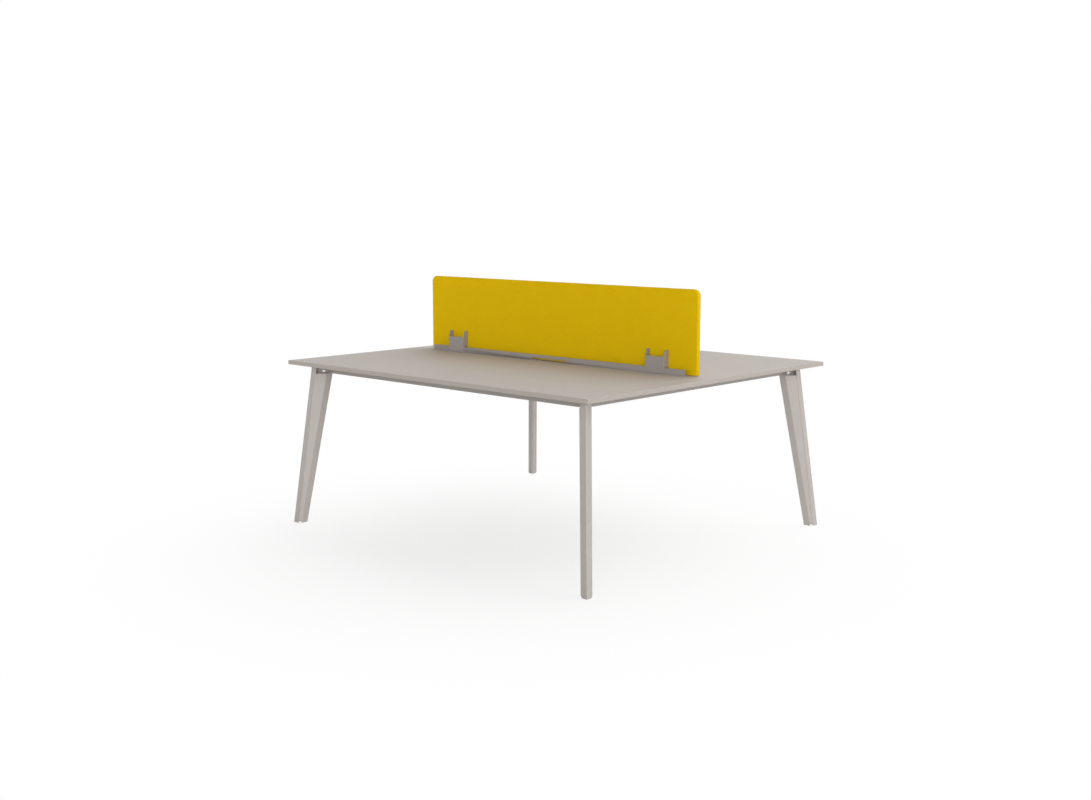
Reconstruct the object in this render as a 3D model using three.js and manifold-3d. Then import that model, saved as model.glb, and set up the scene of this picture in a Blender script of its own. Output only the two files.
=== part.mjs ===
// Benching desk for two: two worktops back to back on one steel underframe,
// four splayed blade legs with levelling feet, and a fabric screen on the joint.
// Millimetres, +Z up. The origin is on the floor under the middle of the desk.
// +X runs along the users' edges, and the front user sits on the -Y side.
import * as THREE from "three";
import { mergeVertices } from "three/addons/utils/BufferGeometryUtils.js";
import Module from "manifold-3d";

// Worktops
const DESK_LENGTH = 1800;
const DESK_DEPTH = 1600;
const DESK_HEIGHT = 750;
const TOP_THICKNESS = 18;
const TOP_JOINT = 1; // open joint between the two tops
const BAND_THICKNESS = 2;
const SLOT_LENGTH = 210; // cable slot at the joint, and the notch in front of it
const SLOT_REACH = 33; // how far the slot cuts into each top from the middle
const SLOT_RADIUS = 8;

// Underframe
const RAIL_INSET = 125; // outer faces of the rails, in from the edges of the tops
const RAIL_HEIGHT = 40;
const RAIL_WIDTH = 30;
const RAIL_WALL = 2;
const EAR_THICKNESS = 5; // mitre plates that close the rails and clamp the legs
const EAR_OUTREACH = 29; // past the outer corner of the rails, along the diagonal
const CENTRE_GAP = 120; // clear width between the two centre rails
const SADDLE_LENGTH = 40;
const SADDLE_WALL = 3;
const SADDLE_DROP = 6; // top of the saddle's cheeks, below the rail's top

// Legs: blades in the corner's diagonal plane, measured from the corner of the tops
const LEG_TOP_WIDTH = 102; // ridge to ridge, at the underside of the tops
const LEG_FOOT_WIDTH = 63; // ridge to ridge, at the floor
const LEG_THICKNESS = 43;
const LEG_CHAMFER = 25; // from a ridge to the flat face
const LEG_WALL = 2.5;
const LEG_LAP = 31; // inner ridge, past the outer corner of the rails
const LEG_FOOT_INSET = 5; // outer ridge at the floor, in from the corner of the tops
const LEG_LIFT = 2; // lower edge of the blade, above the floor
const NOTCH_CLEARANCE = 1; // between the rails and the blade's cut edge
const FOLD_FLAP = 1; // strip of the flat left beside the outer fold in the notch
const ARCH_RADIUS = 9.5; // opening at the foot of each flat face

// Head plates that the ears clamp, and their bolts
const HEAD_THICKNESS = 8;
const HEAD_DEPTH = 80; // down into the blade, below the notch
const HEAD_INREACH = 12; // past the rails' corner, inwards
const HEAD_RECESS = 2; // below the underside of the tops
const LEG_BOLT_DIAMETER = 8;
const LEG_BOLT_HEAD = 14;
const LEG_BOLT_HEAD_HEIGHT = 5;
const LEG_NUT_HEIGHT = 6.5;
const LEG_BOLT_OUT = 15; // axis, out from the rails' corner
const LEG_BOLT_UP = 10; // axis, above the underside of the rails

// Levelling feet
const PAD_HEIGHT = 9;
const PAD_CLEARANCE = 1; // round the pad, inside the blade
const PAD_CHAMFER = 1.5;
const STEM_DIAMETER = 8;
const STEM_LENGTH = 40;
const FOOT_PLATE = 5;
const FOOT_BOSS_DIAMETER = 18;
const FOOT_BOSS_HEIGHT = 12;

// Screen
const SCREEN_LENGTH = 1600;
const SCREEN_RISE = 354; // top edge above the worktops
const SCREEN_THICKNESS = 20;
const SCREEN_TOP_RADIUS = 27;
const SCREEN_BOTTOM_RADIUS = 6;
const COVER_THICKNESS = 2;

// Screen rails and the clips that hook over them, folded from sheet
const SHEET = 2;
const STRIP_INSET = 40; // ends of the strip, in from the ends of the screen
const RAIL_STRIP_HEIGHT = 26;
const RAIL_STAND_OFF = 28; // outer face of the strip, from the face of the screen
const NOTCH_HEIGHT = 12;
const CLIP_INSET = 198; // middle of a clip, in from the end of the screen
const CLIP_WIDTH = 100;
const CLIP_HEIGHT = 72;
const CLIP_FOOT = 1; // lower edge of a clip, above the worktop
const CLIP_EAR_HEIGHT = 100;
const CLIP_EAR_SETBACK = 7; // top of the sloping edge, back from the clip's face
const CLIP_EAR_RADIUS = 5;
const TAB_WIDTH = 24;
const TAB_BOTTOM = 36; // above the worktop
const TAB_TOP = 64;
const SCREEN_BOLT_DIAMETER = 5;
const SCREEN_BOLT_HEAD = 9;
const SCREEN_BOLT_HEAD_HEIGHT = 3;
const CLINCH_NUT_DIAMETER = 9;
const CLINCH_NUT_HEIGHT = 5;

// Cable tray
const TRAY_LENGTH = 1000;
const TRAY_DEPTH = 58;
const TRAY_WALL = 1.5;
const TRAY_FLANGE = 22;

// Screws
const SCREW_DIAMETER = 4.5;
const SCREW_HEAD = 9;
const SCREW_HEAD_HEIGHT = 3;
const SCREW_BITE = 13; // length held in the board or rail
const SCREW_TIP = 2; // pilot holes run on past the screws
const ACCESS_HOLE = 13; // driver holes in the lower walls of the rails
const TOP_SCREW_SPACING = 1000;
const TRAY_SCREW_SPACING = 800;
const STRIP_SCREW_SPACING = 700;

const CLEARANCE = 0.3; // between pieces that fit together
const ROUND_SIDES = 20;

// Levels and places that follow from the sizes
const UNDERSIDE = DESK_HEIGHT - TOP_THICKNESS;
const RAIL_BOTTOM = UNDERSIDE - RAIL_HEIGHT;
const RAIL_HALF_X = DESK_LENGTH / 2 - RAIL_INSET;
const RAIL_HALF_Y = DESK_DEPTH / 2 - RAIL_INSET;
const CENTRE_RAIL_Y = CENTRE_GAP / 2 + RAIL_WIDTH / 2;
const RAIL_CORNER = RAIL_INSET * Math.SQRT2;
const LEG_NOTCH = RAIL_BOTTOM - NOTCH_CLEARANCE;
const EAR_INNER_FACE = HEAD_THICKNESS / 2 + CLEARANCE;
const EAR_OUTER_FACE = EAR_INNER_FACE + EAR_THICKNESS;
const SCREEN_FACE = SCREEN_THICKNESS / 2;
const STRIP_FACE = SCREEN_FACE + RAIL_STAND_OFF;
const STRIP_TOP = DESK_HEIGHT + RAIL_STRIP_HEIGHT;
const CLIP_BACK = STRIP_FACE + CLEARANCE;
const CLIP_FACE = CLIP_BACK + SHEET;
const SCREEN_BASE = DESK_HEIGHT + SHEET;
const SCREEN_TOP = DESK_HEIGHT + SCREEN_RISE;
const TAB_BACK = SCREEN_FACE + CLEARANCE;
const TAB_FRONT = TAB_BACK + SHEET;
const TAB_X = CLIP_WIDTH / 2 - SHEET - TAB_WIDTH / 2; // from the middle of the clip
const TAB_Z = DESK_HEIGHT + (TAB_BOTTOM + TAB_TOP) / 2;
const STRIP_SCREW_Y = (STRIP_FACE - SHEET + SCREEN_FACE) / 2;
const TRAY_SCREW_Y = CENTRE_GAP / 2 + TRAY_FLANGE / 2;

// Finishes
const GREY_BOARD = { color: 0xbbb2aa, roughness: 0.55, metalness: 0 };
const GREY_BAND = { color: 0xb4aaa2, roughness: 0.5, metalness: 0 };
const GREY_STEEL = { color: 0xb9b1ab, roughness: 0.5, metalness: 0.2 };
const RAIL_STEEL = { color: 0xaaa39d, roughness: 0.5, metalness: 0.2 };
const CLIP_STEEL = { color: 0x9e9792, roughness: 0.5, metalness: 0.2 };
const BRIGHT_STEEL = { color: 0xd2d2d0, roughness: 0.3, metalness: 1 };
const PALE_PLASTIC = { color: 0xe8e6e2, roughness: 0.45, metalness: 0 };
const YELLOW_FABRIC = { color: 0xdcb60f, roughness: 0.95, metalness: 0 };
const CORE_BOARD = { color: 0xb79a72, roughness: 0.8, metalness: 0 };

const wasm = await Module();
wasm.setup();

// A closed geometry as a solid for joining and cutting.
function solidOf(geometry) {
  const bare = geometry.clone();
  bare.deleteAttribute("normal");
  bare.deleteAttribute("uv");
  const merged = mergeVertices(bare, 1e-4);
  return new wasm.Manifold(
    new wasm.Mesh({
      numProp: 3,
      vertProperties: new Float32Array(merged.attributes.position.array),
      triVerts: new Uint32Array(merged.index.array),
    }),
  );
}

function geometryOf(solid) {
  const mesh = solid.getMesh();
  const geometry = new THREE.BufferGeometry();
  geometry.setAttribute("position", new THREE.BufferAttribute(mesh.vertProperties, 3));
  geometry.setIndex(new THREE.BufferAttribute(mesh.triVerts, 1));
  const flat = geometry.toNonIndexed();
  flat.computeVertexNormals();
  return flat;
}

function join(...geometries) {
  return geometryOf(geometries.map(solidOf).reduce((all, next) => all.add(next)));
}

function cut(geometry, ...tools) {
  const whole = solidOf(geometry);
  return geometryOf(tools.map(solidOf).reduce((left, tool) => left.subtract(tool), whole));
}

// Moves each vertex of a geometry to place(x, y, z).
function shaped(geometry, place) {
  const position = geometry.attributes.position;
  for (let i = 0; i < position.count; i += 1) {
    position.setXYZ(i, ...place(position.getX(i), position.getY(i), position.getZ(i)));
  }
  return geometry;
}

// A box between two corners.
function block([x0, y0, z0], [x1, y1, z1]) {
  const pick = (side, low, high) => (side < 0 ? low : high);
  return shaped(new THREE.BoxGeometry(1, 1, 1), (x, y, z) => [
    pick(x, x0, x1),
    pick(y, y0, y1),
    pick(z, z0, z1),
  ]);
}

// An outline, given as a shape or as a list of corners, extruded by 1.
function extrusion(outline) {
  const listed = Array.isArray(outline);
  const shape = listed ? new THREE.Shape(outline.map(([x, y]) => new THREE.Vector2(x, y))) : outline;
  return new THREE.ExtrudeGeometry(shape, { depth: 1, bevelEnabled: false, curveSegments: 6 });
}

// An outline in plan (x, y), between two heights.
function upright(points, z0, z1) {
  return shaped(extrusion(points), (x, y, z) => [x, y, z < 0.5 ? z0 : z1]);
}

// An outline in elevation (x, z), between two depths y0 < y1.
function acrossY(points, y0, y1) {
  return shaped(extrusion(points), (x, y, z) => [x, z < 0.5 ? y1 : y0, y]);
}

// A profile (y, z), between two ends x0 < x1.
function alongX(points, x0, x1) {
  return shaped(extrusion(points), (x, y, z) => [z < 0.5 ? x0 : x1, x, y]);
}

// A prism whose outline changes evenly from section(z0) to section(z1).
function blade(section, z0, z1) {
  const low = section(z0);
  const high = section(z1);
  return shaped(extrusion(low), (x, y, z) => {
    const apart = low.map(([px, py]) => Math.hypot(px - x, py - y));
    const corner = apart.indexOf(Math.min(...apart));
    return z < 0.5 ? [...low[corner], z0] : [...high[corner], z1];
  });
}

// A round bar along z, between two heights.
function barZ(radius, x, y, z0, z1, sides = ROUND_SIDES) {
  return new THREE.CylinderGeometry(radius, radius, z1 - z0, sides)
    .rotateX(Math.PI / 2)
    .translate(x, y, (z0 + z1) / 2);
}

// A round bar along y, between two depths.
function barY(radius, x, z, y0, y1, sides = ROUND_SIDES) {
  return new THREE.CylinderGeometry(radius, radius, y1 - y0, sides).translate(x, (y0 + y1) / 2, z);
}

const desk = new THREE.Group();

function piece(name, geometry, finish, parent = desk) {
  const mesh = new THREE.Mesh(geometry, new THREE.MeshStandardMaterial(finish));
  mesh.name = name;
  parent.add(mesh);
  return mesh;
}

function turnedGroup(x, y, angle, parent = desk) {
  const group = new THREE.Group();
  group.position.set(x, y, 0);
  group.rotation.z = angle;
  parent.add(group);
  return group;
}

// The two users' sides: the rear side is the front side turned half round.
const SIDES = [
  { side: "front", turn: 0, sign: -1 },
  { side: "rear", turn: Math.PI, sign: 1 },
];

const pilotRadius = SCREW_DIAMETER / 2 + CLEARANCE;
const topScrewXs = [-TOP_SCREW_SPACING / 2, TOP_SCREW_SPACING / 2];
const stripScrewXs = [-STRIP_SCREW_SPACING / 2, STRIP_SCREW_SPACING / 2];
const trayScrewXs = [-TRAY_SCREW_SPACING / 2, TRAY_SCREW_SPACING / 2];
const outerScrewY = RAIL_HALF_Y - RAIL_WIDTH / 2;

// Screws that hold one worktop: two through the outer rail, and two that come up through
// the cable tray's flange and the centre rail.
const topScrews = topScrewXs.map((x) => [x, -outerScrewY]);
const trayScrews = trayScrewXs.map((x) => [x, -TRAY_SCREW_Y]);

// Worktop: a board with the cable slot in its inner edge and pilot holes for the screws.
function worktop() {
  const halfX = DESK_LENGTH / 2 - BAND_THICKNESS;
  const outerY = -(DESK_DEPTH / 2 - BAND_THICKNESS);
  const innerY = -TOP_JOINT / 2;
  const slotX = SLOT_LENGTH / 2;
  const outline = new THREE.Shape();
  outline.moveTo(-halfX, outerY);
  outline.lineTo(halfX, outerY);
  outline.lineTo(halfX, innerY);
  outline.lineTo(slotX, innerY);
  outline.lineTo(slotX, -SLOT_REACH + SLOT_RADIUS);
  outline.absarc(slotX - SLOT_RADIUS, -SLOT_REACH + SLOT_RADIUS, SLOT_RADIUS, 0, -Math.PI / 2, true);
  outline.lineTo(-slotX + SLOT_RADIUS, -SLOT_REACH);
  outline.absarc(-slotX + SLOT_RADIUS, -SLOT_REACH + SLOT_RADIUS, SLOT_RADIUS, -Math.PI / 2, -Math.PI, true);
  outline.lineTo(-slotX, innerY);
  outline.lineTo(-halfX, innerY);
  const fromBelow = [...topScrews, ...trayScrews].map(([x, y]) =>
    barZ(pilotRadius, x, y, UNDERSIDE - 1, UNDERSIDE + SCREW_BITE + SCREW_TIP, 10),
  );
  const fromAbove = stripScrewXs.map((x) =>
    barZ(pilotRadius, x, -STRIP_SCREW_Y, DESK_HEIGHT - SCREW_BITE - SCREW_TIP, DESK_HEIGHT + 1, 10),
  );
  return cut(upright(outline, UNDERSIDE, DESK_HEIGHT), ...fromBelow, ...fromAbove);
}

// Edge band round the three outer edges of a worktop.
function edgeBand() {
  const x = DESK_LENGTH / 2;
  const y = -DESK_DEPTH / 2;
  const t = BAND_THICKNESS;
  const inner = -TOP_JOINT / 2;
  return upright(
    [
      [-x, inner],
      [-x, y],
      [x, y],
      [x, inner],
      [x - t, inner],
      [x - t, y + t],
      [-x + t, y + t],
      [-x + t, inner],
    ],
    UNDERSIDE,
    DESK_HEIGHT,
  );
}

// A pan-head screw pointing up from a seat at the given height.
function screwUp(x, y, seat, length) {
  return join(
    barZ(SCREW_HEAD / 2, x, y, seat - SCREW_HEAD_HEIGHT, seat, 12),
    barZ(SCREW_DIAMETER / 2, x, y, seat - 0.5, seat + length, 10),
  );
}

// A pan-head screw pointing down from a seat at the given height.
function screwDown(x, y, seat, length) {
  return join(
    barZ(SCREW_HEAD / 2, x, y, seat, seat + SCREW_HEAD_HEIGHT, 12),
    barZ(SCREW_DIAMETER / 2, x, y, seat - length, seat + 0.5, 10),
  );
}

// Holes for a screw driven up through a hollow rail.
function railScrewHoles(x, y) {
  const middle = RAIL_BOTTOM + RAIL_HEIGHT / 2;
  return [
    barZ(pilotRadius, x, y, middle, UNDERSIDE + 1, 10),
    barZ(ACCESS_HOLE / 2, x, y, RAIL_BOTTOM - 1, middle, 14),
  ];
}

// A mitred rail along x, outer face at y = 0, from corner to corner of the underframe.
// A plate closes each mitre and reaches out past the corner to clamp the leg's head plate.
function cornerRail(halfLength) {
  const onDiagonal = (side, along, off) => [
    side * (halfLength - (along + off) / Math.SQRT2),
    (along - off) / Math.SQRT2,
  ];
  const weld = EAR_INNER_FACE + EAR_THICKNESS / 2;
  const outerEnd = halfLength - weld * Math.SQRT2;
  const innerEnd = outerEnd - RAIL_WIDTH;
  const tube = upright(
    [
      [-outerEnd, 0],
      [outerEnd, 0],
      [innerEnd, RAIL_WIDTH],
      [-innerEnd, RAIL_WIDTH],
    ],
    RAIL_BOTTOM,
    UNDERSIDE,
  );
  const hollow = block(
    [-halfLength, RAIL_WALL, RAIL_BOTTOM + RAIL_WALL],
    [halfLength, RAIL_WIDTH - RAIL_WALL, UNDERSIDE - RAIL_WALL],
  );
  const inreach = EAR_OUTER_FACE + RAIL_WIDTH * Math.SQRT2 + RAIL_WALL;
  const ears = [-1, 1].map((side) => {
    const corners = [
      onDiagonal(side, -EAR_OUTREACH, EAR_INNER_FACE),
      onDiagonal(side, inreach, EAR_INNER_FACE),
      onDiagonal(side, inreach, EAR_OUTER_FACE),
      onDiagonal(side, -EAR_OUTREACH, EAR_OUTER_FACE),
    ];
    const plate = upright(corners, RAIL_BOTTOM, UNDERSIDE);
    const hole = new THREE.CylinderGeometry(
      LEG_BOLT_DIAMETER / 2 + CLEARANCE,
      LEG_BOLT_DIAMETER / 2 + CLEARANCE,
      4 * EAR_OUTER_FACE,
      ROUND_SIDES,
    );
    hole.rotateZ((side * -Math.PI) / 4);
    const [x, y] = onDiagonal(side, -LEG_BOLT_OUT, EAR_INNER_FACE);
    hole.translate(x, y, RAIL_BOTTOM + LEG_BOLT_UP);
    return cut(plate, hole);
  });
  return join(cut(tube, hollow), ...ears);
}

// A saddle on the inner face of an end rail: a U that a centre rail drops into.
function saddle(x) {
  const inside = RAIL_WIDTH / 2 + CLEARANCE;
  const outside = inside + SADDLE_WALL;
  const cheekTop = UNDERSIDE - SADDLE_DROP;
  const outline = [
    [x - outside, RAIL_BOTTOM - SADDLE_WALL],
    [x + outside, RAIL_BOTTOM - SADDLE_WALL],
    [x + outside, cheekTop],
    [x + inside, cheekTop],
    [x + inside, RAIL_BOTTOM],
    [x - inside, RAIL_BOTTOM],
    [x - inside, cheekTop],
    [x - outside, cheekTop],
  ];
  return acrossY(outline, RAIL_WIDTH - RAIL_WALL / 2, RAIL_WIDTH + SADDLE_LENGTH);
}

// Centre rail: an open tube between the end rails, lying in their saddles.
function centreRail() {
  const half = RAIL_HALF_X - RAIL_WIDTH - CLEARANCE;
  const y = -CENTRE_RAIL_Y;
  const tube = block([-half, y - RAIL_WIDTH / 2, RAIL_BOTTOM], [half, y + RAIL_WIDTH / 2, UNDERSIDE]);
  const hollow = block(
    [-half - 1, y - RAIL_WIDTH / 2 + RAIL_WALL, RAIL_BOTTOM + RAIL_WALL],
    [half + 1, y + RAIL_WIDTH / 2 - RAIL_WALL, UNDERSIDE - RAIL_WALL],
  );
  const holes = trayScrews.map(([holeX, holeY]) =>
    barZ(pilotRadius, holeX, holeY, RAIL_BOTTOM - 1, UNDERSIDE + 1, 10),
  );
  return cut(tube, hollow, ...holes);
}

for (const { side, turn, sign } of SIDES) {
  const half = turnedGroup(0, 0, turn);
  piece(`${side}_worktop`, worktop(), GREY_BOARD, half);
  piece(`${side}_edge_band`, edgeBand(), GREY_BAND, half);
  const rail = cut(
    cornerRail(RAIL_HALF_X),
    ...topScrewXs.flatMap((x) => railScrewHoles(x, RAIL_WIDTH / 2)),
  );
  piece(`${side}_rail`, rail, RAIL_STEEL, turnedGroup(0, sign * RAIL_HALF_Y, turn));
  piece(`${side}_centre_rail`, centreRail(), RAIL_STEEL, half);
  topScrews.forEach(([x, y], index) => {
    const screw = screwUp(x, y, UNDERSIDE - RAIL_WALL, RAIL_WALL + SCREW_BITE);
    piece(`${side}_worktop_screw_${index + 1}`, screw, BRIGHT_STEEL, half);
  });
}

const END_RAILS = [
  { side: "left", turn: -Math.PI / 2, sign: -1 },
  { side: "right", turn: Math.PI / 2, sign: 1 },
];
for (const { side, turn, sign } of END_RAILS) {
  const vents = [-CENTRE_RAIL_Y, CENTRE_RAIL_Y].map((x) =>
    barZ(ACCESS_HOLE / 2, x * 2, RAIL_WIDTH / 2, RAIL_BOTTOM - 1, RAIL_BOTTOM + RAIL_HEIGHT / 2, 14),
  );
  const rail = join(cut(cornerRail(RAIL_HALF_Y), ...vents), saddle(-CENTRE_RAIL_Y), saddle(CENTRE_RAIL_Y));
  piece(`${side}_rail`, rail, RAIL_STEEL, turnedGroup(sign * RAIL_HALF_X, 0, turn));
}

// Legs. In a leg's own frame x runs inwards along the diagonal from the corner of the tops.
function legRidges(z) {
  const share = z / UNDERSIDE;
  const topInner = RAIL_CORNER + LEG_LAP;
  const outer = LEG_FOOT_INSET + share * (topInner - LEG_TOP_WIDTH - LEG_FOOT_INSET);
  const inner = LEG_FOOT_INSET + LEG_FOOT_WIDTH + share * (topInner - LEG_FOOT_INSET - LEG_FOOT_WIDTH);
  return { outer, inner };
}

// Slope of the chamfer faces in plan.
const chamferLength = Math.hypot(LEG_CHAMFER, LEG_THICKNESS / 2);
const ridgeSine = LEG_THICKNESS / 2 / chamferLength;
const ridgeTangent = LEG_THICKNESS / 2 / LEG_CHAMFER;

// Flattened hexagon of a leg at height z, its sides moved inwards by a wall.
function legSection(z, wall) {
  const { outer, inner } = legRidges(z);
  const half = LEG_THICKNESS / 2 - wall;
  const start = outer + wall / ridgeSine;
  const end = inner - wall / ridgeSine;
  const run = half / ridgeTangent;
  return [
    [start, 0],
    [start + run, -half],
    [end - run, -half],
    [end, 0],
    [end - run, half],
    [start + run, half],
  ];
}

const footRidges = legRidges(LEG_LIFT);
const footX = (footRidges.outer + footRidges.inner) / 2;

function legBlade() {
  const outside = blade((z) => legSection(z, 0), LEG_LIFT, UNDERSIDE);
  const inside = blade((z) => legSection(z, LEG_WALL), LEG_LIFT - 1, UNDERSIDE + 1);
  const aside = LEG_THICKNESS;
  const notch = blade(
    (z) => {
      const { outer, inner } = legRidges(z);
      const fold = outer + LEG_CHAMFER + FOLD_FLAP;
      return [
        [fold, -aside],
        [inner + aside, -aside],
        [inner + aside, aside],
        [fold, aside],
      ];
    },
    LEG_NOTCH,
    UNDERSIDE + 1,
  );
  const arch = barY(ARCH_RADIUS, footX, LEG_LIFT, -aside, aside, 24);
  return cut(outside, inside, notch, arch);
}

// Head plate in the blade's middle plane: it fills the blade below the notch, closes the
// notch behind the outer folds and stands up between the ears of the two rails.
function headPlate() {
  const shoulder = LEG_NOTCH - HEAD_RECESS;
  const foot = LEG_NOTCH - HEAD_DEPTH;
  const inset = (LEG_WALL + CLEARANCE) / ridgeSine + HEAD_THICKNESS / 2 / ridgeTangent;
  const low = legRidges(foot);
  const high = legRidges(shoulder);
  const top = UNDERSIDE - HEAD_RECESS;
  const outline = [
    [low.outer + inset, foot],
    [low.inner - inset, foot],
    [high.inner - inset, shoulder],
    [RAIL_CORNER + HEAD_INREACH, shoulder],
    [RAIL_CORNER + HEAD_INREACH, top],
    [legRidges(top).outer + inset, top],
  ];
  const plate = acrossY(outline, -HEAD_THICKNESS / 2, HEAD_THICKNESS / 2);
  const hole = barY(
    LEG_BOLT_DIAMETER / 2 + CLEARANCE,
    RAIL_CORNER - LEG_BOLT_OUT,
    RAIL_BOTTOM + LEG_BOLT_UP,
    -HEAD_THICKNESS,
    HEAD_THICKNESS,
  );
  return cut(plate, hole);
}

const boltX = RAIL_CORNER - LEG_BOLT_OUT;
const boltZ = RAIL_BOTTOM + LEG_BOLT_UP;
const boltSeat = EAR_OUTER_FACE + CLEARANCE;

function legBolt() {
  const shank = barY(LEG_BOLT_DIAMETER / 2, boltX, boltZ, -boltSeat - 1, boltSeat + LEG_NUT_HEIGHT);
  const head = barY(LEG_BOLT_HEAD / 2, boltX, boltZ, -boltSeat - LEG_BOLT_HEAD_HEIGHT, -boltSeat);
  return join(shank, head);
}

function legNut() {
  const nut = barY(LEG_BOLT_HEAD / 2, boltX, boltZ, boltSeat, boltSeat + LEG_NUT_HEIGHT, 6);
  const bore = barY(LEG_BOLT_DIAMETER / 2 + CLEARANCE, boltX, boltZ, 0, boltSeat + LEG_NUT_HEIGHT + 1);
  return cut(nut, bore);
}

// Foot plate inside the blade, with the threaded boss of the levelling foot.
function footPlate() {
  const plateTop = PAD_HEIGHT + FOOT_PLATE;
  const plate = blade((z) => legSection(z, LEG_WALL + CLEARANCE), PAD_HEIGHT, plateTop);
  const boss = barZ(FOOT_BOSS_DIAMETER / 2, footX, 0, plateTop - 1, plateTop + FOOT_BOSS_HEIGHT);
  const bore = barZ(STEM_DIAMETER / 2 + CLEARANCE, footX, 0, 0, plateTop + FOOT_BOSS_HEIGHT + 1);
  return cut(join(plate, boss), bore);
}

// Levelling foot: a round pad on a threaded stem, screwed up against the foot plate.
function levellingFoot() {
  const toFlat = LEG_THICKNESS / 2 - LEG_WALL;
  const toChamfer = ((footRidges.inner - footRidges.outer) / 2) * ridgeSine - LEG_WALL;
  const radius = Math.min(toFlat, toChamfer) - PAD_CLEARANCE;
  const profile = [
    [0, 0],
    [radius - PAD_CHAMFER, 0],
    [radius, PAD_CHAMFER],
    [radius, PAD_HEIGHT],
    [STEM_DIAMETER / 2, PAD_HEIGHT],
    [STEM_DIAMETER / 2, PAD_HEIGHT + STEM_LENGTH],
    [0, PAD_HEIGHT + STEM_LENGTH],
  ].map(([r, z]) => new THREE.Vector2(r, z));
  return new THREE.LatheGeometry(profile, 24).rotateX(Math.PI / 2).translate(footX, 0, 0);
}

const CORNERS = [
  { corner: "front_left", x: -1, y: -1, turn: Math.PI / 4 },
  { corner: "front_right", x: 1, y: -1, turn: (3 * Math.PI) / 4 },
  { corner: "rear_right", x: 1, y: 1, turn: (5 * Math.PI) / 4 },
  { corner: "rear_left", x: -1, y: 1, turn: (7 * Math.PI) / 4 },
];
for (const { corner, x, y, turn } of CORNERS) {
  const leg = turnedGroup((x * DESK_LENGTH) / 2, (y * DESK_DEPTH) / 2, turn);
  piece(`${corner}_leg`, legBlade(), GREY_STEEL, leg);
  piece(`${corner}_head_plate`, headPlate(), RAIL_STEEL, leg);
  piece(`${corner}_leg_bolt`, legBolt(), BRIGHT_STEEL, leg);
  piece(`${corner}_leg_nut`, legNut(), BRIGHT_STEEL, leg);
  piece(`${corner}_foot_plate`, footPlate(), RAIL_STEEL, leg);
  piece(`${corner}_levelling_foot`, levellingFoot(), PALE_PLASTIC, leg);
}

// Screen: a core board in a fabric cover that is open along its lower edge.
function screenOutline(halfLength, bottom, top, topRadius, bottomRadius) {
  const shape = new THREE.Shape();
  shape.moveTo(-halfLength + bottomRadius, bottom);
  shape.lineTo(halfLength - bottomRadius, bottom);
  shape.absarc(halfLength - bottomRadius, bottom + bottomRadius, bottomRadius, -Math.PI / 2, 0, false);
  shape.lineTo(halfLength, top - topRadius);
  shape.absarc(halfLength - topRadius, top - topRadius, topRadius, 0, Math.PI / 2, false);
  shape.lineTo(-halfLength + topRadius, top);
  shape.absarc(-halfLength + topRadius, top - topRadius, topRadius, Math.PI / 2, Math.PI, false);
  shape.lineTo(-halfLength, bottom + bottomRadius);
  shape.absarc(-halfLength + bottomRadius, bottom + bottomRadius, bottomRadius, Math.PI, 1.5 * Math.PI, false);
  return shape;
}

const clipXs = [-1, 1].map((end) => end * (SCREEN_LENGTH / 2 - CLIP_INSET));
const screenBoltXs = clipXs.flatMap((middle) => [middle - TAB_X, middle + TAB_X]);
const boltHoles = screenBoltXs.map((x) =>
  barY(SCREEN_BOLT_DIAMETER / 2 + CLEARANCE, x, TAB_Z, -SCREEN_THICKNESS, SCREEN_THICKNESS, 12),
);

function screenPanel(inset, radiusLoss) {
  return screenOutline(
    SCREEN_LENGTH / 2 - inset,
    SCREEN_BASE,
    SCREEN_TOP - inset,
    SCREEN_TOP_RADIUS - radiusLoss,
    SCREEN_BOTTOM_RADIUS - radiusLoss,
  );
}

const lining = COVER_THICKNESS + CLEARANCE;
const coverBlank = acrossY(screenPanel(0, 0), -SCREEN_FACE, SCREEN_FACE);
const coverInside = acrossY(
  screenOutline(
    SCREEN_LENGTH / 2 - COVER_THICKNESS,
    SCREEN_BASE - SCREEN_THICKNESS,
    SCREEN_TOP - COVER_THICKNESS,
    SCREEN_TOP_RADIUS - COVER_THICKNESS,
    SCREEN_BOTTOM_RADIUS - COVER_THICKNESS,
  ),
  -SCREEN_FACE + COVER_THICKNESS,
  SCREEN_FACE - COVER_THICKNESS,
);
const coreBlank = acrossY(screenPanel(lining, lining), -SCREEN_FACE + lining, SCREEN_FACE - lining);
piece("screen_cover", cut(coverBlank, coverInside, ...boltHoles), YELLOW_FABRIC);
piece("screen_core", cut(coreBlank, ...boltHoles), CORE_BOARD);

// Screen rail on the front side: a strip with a base flange that is screwed to the worktop.
function screenRail() {
  const half = SCREEN_LENGTH / 2 - STRIP_INSET;
  const strip = block([-half, -STRIP_FACE, DESK_HEIGHT], [half, -STRIP_FACE + SHEET, STRIP_TOP]);
  const base = block([-half, -STRIP_FACE, DESK_HEIGHT], [half, -TOP_JOINT / 2, SCREEN_BASE]);
  const slotX = SLOT_LENGTH / 2;
  const notch = block(
    [-slotX, -STRIP_FACE - 1, DESK_HEIGHT - 1],
    [slotX, -STRIP_FACE + SHEET + 1, DESK_HEIGHT + NOTCH_HEIGHT],
  );
  const slot = block([-slotX, -STRIP_FACE - 1, DESK_HEIGHT - 1], [slotX, -SCREEN_FACE, SCREEN_BASE + 1]);
  const screwHoles = stripScrewXs.map((x) =>
    barZ(pilotRadius, x, -STRIP_SCREW_Y, DESK_HEIGHT - 1, SCREEN_BASE + 1, 10),
  );
  return cut(join(strip, base), notch, slot, ...screwHoles);
}

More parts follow.
